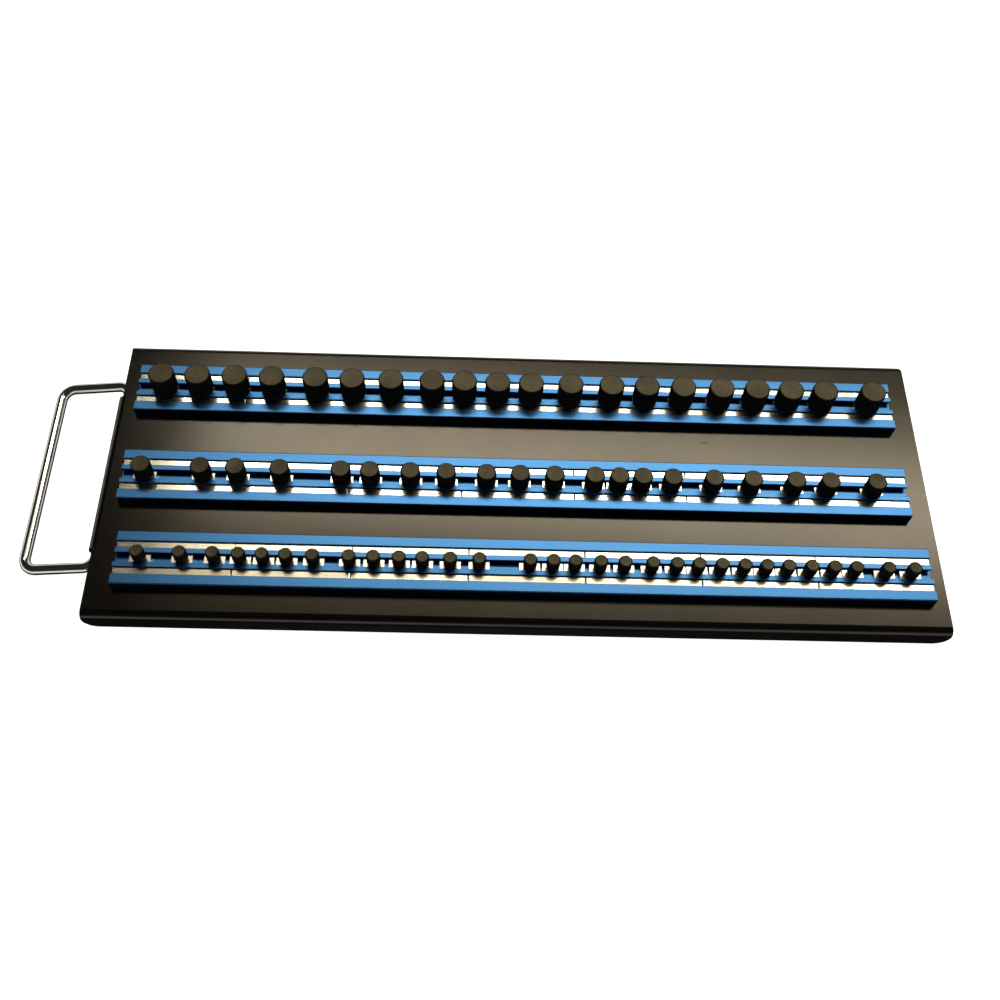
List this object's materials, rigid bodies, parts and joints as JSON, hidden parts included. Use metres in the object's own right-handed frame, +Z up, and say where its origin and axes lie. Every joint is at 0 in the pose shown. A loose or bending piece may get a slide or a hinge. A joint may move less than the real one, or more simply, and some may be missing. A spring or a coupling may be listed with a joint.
{
  "type": "socket organizer tray",
  "caption": "Portable magnetic tray for sockets: folded steel tray with T-slot rails of sliding, twist-locking posts between magnet strips, and a wire bail handle at one end.",
  "frame": {"origin": "on the table, under the middle of the bounding box of the tray with its handle down", "axes": "+X along the rails from the handle end to the right end, +Y to the rear rail of large posts, +Z up"},
  "size_m": [0.4068, 0.1428, 0.0266],
  "materials": {
    "black_sheet": "satin",
    "chromed_wire": "polished",
    "zinc_screw": "satin",
    "blue_rail": "satin anodised",
    "plated_magnet": "polished",
    "black_post": "matte",
    "bright_nut": "satin"
  },
  "bodies": {
    "tray": {"tray_plate": "black_sheet", "rail_screws": "zinc_screw", "rear_rail": "blue_rail", "rear_rail_back_magnets": "plated_magnet", "rear_rail_front_magnets": "plated_magnet", "rear_locked_posts": "black_post", "rear_locked_nuts": "bright_nut", "middle_rail": "blue_rail", "middle_rail_back_magnets": "plated_magnet", "middle_rail_front_magnets": "plated_magnet", "middle_locked_posts": "black_post", "middle_locked_nuts": "bright_nut", "front_rail": "blue_rail", "front_rail_back_magnets": "plated_magnet", "front_rail_front_magnets": "plated_magnet", "front_locked_posts": "black_post", "front_locked_nuts": "bright_nut"},
    "carry_handle": {"carry_handle": "chromed_wire"},
    "rear_nut_01": {"rear_nut_01": "bright_nut"},
    "rear_post_01": {"rear_post_01": "black_post"},
    "rear_nut_04": {"rear_nut_04": "bright_nut"},
    "rear_post_04": {"rear_post_04": "black_post"},
    "rear_nut_07": {"rear_nut_07": "bright_nut"},
    "rear_post_07": {"rear_post_07": "black_post"},
    "rear_nut_10": {"rear_nut_10": "bright_nut"},
    "rear_post_10": {"rear_post_10": "black_post"},
    "rear_nut_13": {"rear_nut_13": "bright_nut"},
    "rear_post_13": {"rear_post_13": "black_post"},
    "rear_nut_17": {"rear_nut_17": "bright_nut"},
    "rear_post_17": {"rear_post_17": "black_post"},
    "rear_nut_20": {"rear_nut_20": "bright_nut"},
    "rear_post_20": {"rear_post_20": "black_post"},
    "middle_nut_01": {"middle_nut_01": "bright_nut"},
    "middle_post_01": {"middle_post_01": "black_post"},
    "middle_nut_02": {"middle_nut_02": "bright_nut"},
    "middle_post_02": {"middle_post_02": "black_post"},
    "middle_nut_05": {"middle_nut_05": "bright_nut"},
    "middle_post_05": {"middle_post_05": "black_post"},
    "middle_nut_09": {"middle_nut_09": "bright_nut"},
    "middle_post_09": {"middle_post_09": "black_post"},
    "middle_nut_13": {"middle_nut_13": "bright_nut"},
    "middle_post_13": {"middle_post_13": "black_post"},
    "middle_nut_16": {"middle_nut_16": "bright_nut"},
    "middle_post_16": {"middle_post_16": "black_post"},
    "middle_nut_20": {"middle_nut_20": "bright_nut"},
    "middle_post_20": {"middle_post_20": "black_post"},
    "front_nut_01": {"front_nut_01": "bright_nut"},
    "front_post_01": {"front_post_01": "black_post"},
    "front_nut_02": {"front_nut_02": "bright_nut"},
    "front_post_02": {"front_post_02": "black_post"},
    "front_nut_08": {"front_nut_08": "bright_nut"},
    "front_post_08": {"front_post_08": "black_post"},
    "front_nut_13": {"front_nut_13": "bright_nut"},
    "front_post_13": {"front_post_13": "black_post"},
    "front_nut_14": {"front_nut_14": "bright_nut"},
    "front_post_14": {"front_post_14": "black_post"},
    "front_nut_18": {"front_nut_18": "bright_nut"},
    "front_post_18": {"front_post_18": "black_post"},
    "front_nut_29": {"front_nut_29": "bright_nut"},
    "front_post_29": {"front_post_29": "black_post"}
  },
  "joints": [
    {"name": "handle_swing", "type": "hinge", "parent": "tray", "child": "carry_handle", "pos_m": [-0.16876, 0.0015, 0.00682], "axis": [0, 1, 0], "range_deg": [-172, 10]},
    {"name": "rear_slide_01", "type": "slide", "parent": "tray", "child": "rear_nut_01", "axis": [1, 0, 0], "range_m": [-0.007, 0.0046]},
    {"name": "rear_twist_01", "type": "hinge", "parent": "rear_nut_01", "child": "rear_post_01", "pos_m": [-0.14946, 0.04385, 0.0153], "axis": [0, 0, 1], "range_deg": [0, 90]},
    {"name": "rear_slide_04", "type": "slide", "parent": "tray", "child": "rear_nut_04", "axis": [1, 0, 0], "range_m": [-0.0051, 0.0081]},
    {"name": "rear_twist_04", "type": "hinge", "parent": "rear_nut_04", "child": "rear_post_04", "pos_m": [-0.09896, 0.04385, 0.0153], "axis": [0, 0, 1], "range_deg": [0, 90]},
    {"name": "rear_slide_07", "type": "slide", "parent": "tray", "child": "rear_nut_07", "axis": [1, 0, 0], "range_m": [-0.0061, 0.0071]},
    {"name": "rear_twist_07", "type": "hinge", "parent": "rear_nut_07", "child": "rear_post_07", "pos_m": [-0.04396, 0.04385, 0.0153], "axis": [0, 0, 1], "range_deg": [0, 90]},
    {"name": "rear_slide_10", "type": "slide", "parent": "tray", "child": "rear_nut_10", "axis": [1, 0, 0], "range_m": [-0.0036, 0.0036]},
    {"name": "rear_twist_10", "type": "hinge", "parent": "rear_nut_10", "child": "rear_post_10", "pos_m": [0.00554, 0.04385, 0.0153], "axis": [0, 0, 1], "range_deg": [0, 90]},
    {"name": "rear_slide_13", "type": "slide", "parent": "tray", "child": "rear_nut_13", "axis": [1, 0, 0], "range_m": [-0.0071, 0.0046]},
    {"name": "rear_twist_13", "type": "hinge", "parent": "rear_nut_13", "child": "rear_post_13", "pos_m": [0.05854, 0.04385, 0.0153], "axis": [0, 0, 1], "range_deg": [0, 90]},
    {"name": "rear_slide_17", "type": "slide", "parent": "tray", "child": "rear_nut_17", "axis": [1, 0, 0], "range_m": [-0.0046, 0.0041]},
    {"name": "rear_twist_17", "type": "hinge", "parent": "rear_nut_17", "child": "rear_post_17", "pos_m": [0.12654, 0.04385, 0.0153], "axis": [0, 0, 1], "range_deg": [0, 90]},
    {"name": "rear_slide_20", "type": "slide", "parent": "tray", "child": "rear_nut_20", "axis": [1, 0, 0], "range_m": [-0.0106, 0.006]},
    {"name": "rear_twist_20", "type": "hinge", "parent": "rear_nut_20", "child": "rear_post_20", "pos_m": [0.18104, 0.04385, 0.0153], "axis": [0, 0, 1], "range_deg": [0, 90]},
    {"name": "middle_slide_01", "type": "slide", "parent": "tray", "child": "middle_nut_01", "axis": [1, 0, 0], "range_m": [-0.0053, 0.0158]},
    {"name": "middle_twist_01", "type": "hinge", "parent": "middle_nut_01", "child": "middle_post_01", "pos_m": [-0.15201, -0.00345, 0.0153], "axis": [0, 0, 1], "range_deg": [0, 90]},
    {"name": "middle_slide_02", "type": "slide", "parent": "tray", "child": "middle_nut_02", "axis": [1, 0, 0], "range_m": [-0.0158, 0.0053]},
    {"name": "middle_twist_02", "type": "hinge", "parent": "middle_nut_02", "child": "middle_post_02", "pos_m": [-0.12601, -0.00345, 0.0153], "axis": [0, 0, 1], "range_deg": [0, 90]},
    {"name": "middle_slide_05", "type": "slide", "parent": "tray", "child": "middle_nut_05", "axis": [1, 0, 0], "range_m": [-0.0168, 0.0028]},
    {"name": "middle_twist_05", "type": "hinge", "parent": "middle_nut_05", "child": "middle_post_05", "pos_m": [-0.06401, -0.00345, 0.0153], "axis": [0, 0, 1], "range_deg": [0, 90]},
    {"name": "middle_slide_09", "type": "slide", "parent": "tray", "child": "middle_nut_09", "axis": [1, 0, 0], "range_m": [-0.0078, 0.0048]},
    {"name": "middle_twist_09", "type": "hinge", "parent": "middle_nut_09", "child": "middle_post_09", "pos_m": [0.00099, -0.00345, 0.0153], "axis": [0, 0, 1], "range_deg": [0, 90]},
    {"name": "middle_slide_13", "type": "slide", "parent": "tray", "child": "middle_nut_13", "axis": [1, 0, 0], "range_m": [-0.0008, 0.0003]},
    {"name": "middle_twist_13", "type": "hinge", "parent": "middle_nut_13", "child": "middle_post_13", "pos_m": [0.06049, -0.00345, 0.0153], "axis": [0, 0, 1], "range_deg": [0, 90]},
    {"name": "middle_slide_16", "type": "slide", "parent": "tray", "child": "middle_nut_16", "axis": [1, 0, 0], "range_m": [-0.0083, 0.0073]},
    {"name": "middle_twist_16", "type": "hinge", "parent": "middle_nut_16", "child": "middle_post_16", "pos_m": [0.10299, -0.00345, 0.0153], "axis": [0, 0, 1], "range_deg": [0, 90]},
    {"name": "middle_slide_20", "type": "slide", "parent": "tray", "child": "middle_nut_20", "axis": [1, 0, 0], "range_m": [-0.0108, 0.0114]},
    {"name": "middle_twist_20", "type": "hinge", "parent": "middle_nut_20", "child": "middle_post_20", "pos_m": [0.17649, -0.00345, 0.0153], "axis": [0, 0, 1], "range_deg": [0, 90]},
    {"name": "front_slide_01", "type": "slide", "parent": "tray", "child": "front_nut_01", "axis": [1, 0, 0], "range_m": [-0.0063, 0.0088]},
    {"name": "front_twist_01", "type": "hinge", "parent": "front_nut_01", "child": "front_post_01", "pos_m": [-0.14761, -0.04515, 0.0153], "axis": [0, 0, 1], "range_deg": [0, 90]},
    {"name": "front_slide_02", "type": "slide", "parent": "tray", "child": "front_nut_02", "axis": [1, 0, 0], "range_m": [-0.0088, 0.0048]},
    {"name": "front_twist_02", "type": "hinge", "parent": "front_nut_02", "child": "front_post_02", "pos_m": [-0.12961, -0.04515, 0.0153], "axis": [0, 0, 1], "range_deg": [0, 90]},
    {"name": "front_slide_08", "type": "slide", "parent": "tray", "child": "front_nut_08", "axis": [1, 0, 0], "range_m": [-0.0063, 0.0013]},
    {"name": "front_twist_08", "type": "hinge", "parent": "front_nut_08", "child": "front_post_08", "pos_m": [-0.05761, -0.04515, 0.0153], "axis": [0, 0, 1], "range_deg": [0, 90]},
    {"name": "front_slide_13", "type": "slide", "parent": "tray", "child": "front_nut_13", "axis": [1, 0, 0], "range_m": [-0.0033, 0.0128]},
    {"name": "front_twist_13", "type": "hinge", "parent": "front_nut_13", "child": "front_post_13", "pos_m": [-0.00161, -0.04515, 0.0153], "axis": [0, 0, 1], "range_deg": [0, 90]},
    {"name": "front_slide_14", "type": "slide", "parent": "tray", "child": "front_nut_14", "axis": [1, 0, 0], "range_m": [-0.0128, 0.0008]},
    {"name": "front_twist_14", "type": "hinge", "parent": "front_nut_14", "child": "front_post_14", "pos_m": [0.02039, -0.04515, 0.0153], "axis": [0, 0, 1], "range_deg": [0, 90]},
    {"name": "front_slide_18", "type": "slide", "parent": "tray", "child": "front_nut_18", "axis": [1, 0, 0], "range_m": [-0.0013, 0.0028]},
    {"name": "front_twist_18", "type": "hinge", "parent": "front_nut_18", "child": "front_post_18", "pos_m": [0.06139, -0.04515, 0.0153], "axis": [0, 0, 1], "range_deg": [0, 90]},
    {"name": "front_slide_29", "type": "slide", "parent": "tray", "child": "front_nut_29", "axis": [1, 0, 0], "range_m": [-0.0048, 0.0023]},
    {"name": "front_twist_29", "type": "hinge", "parent": "front_nut_29", "child": "front_post_29", "pos_m": [0.17589, -0.04515, 0.0153], "axis": [0, 0, 1], "range_deg": [0, 90]}
  ]
}
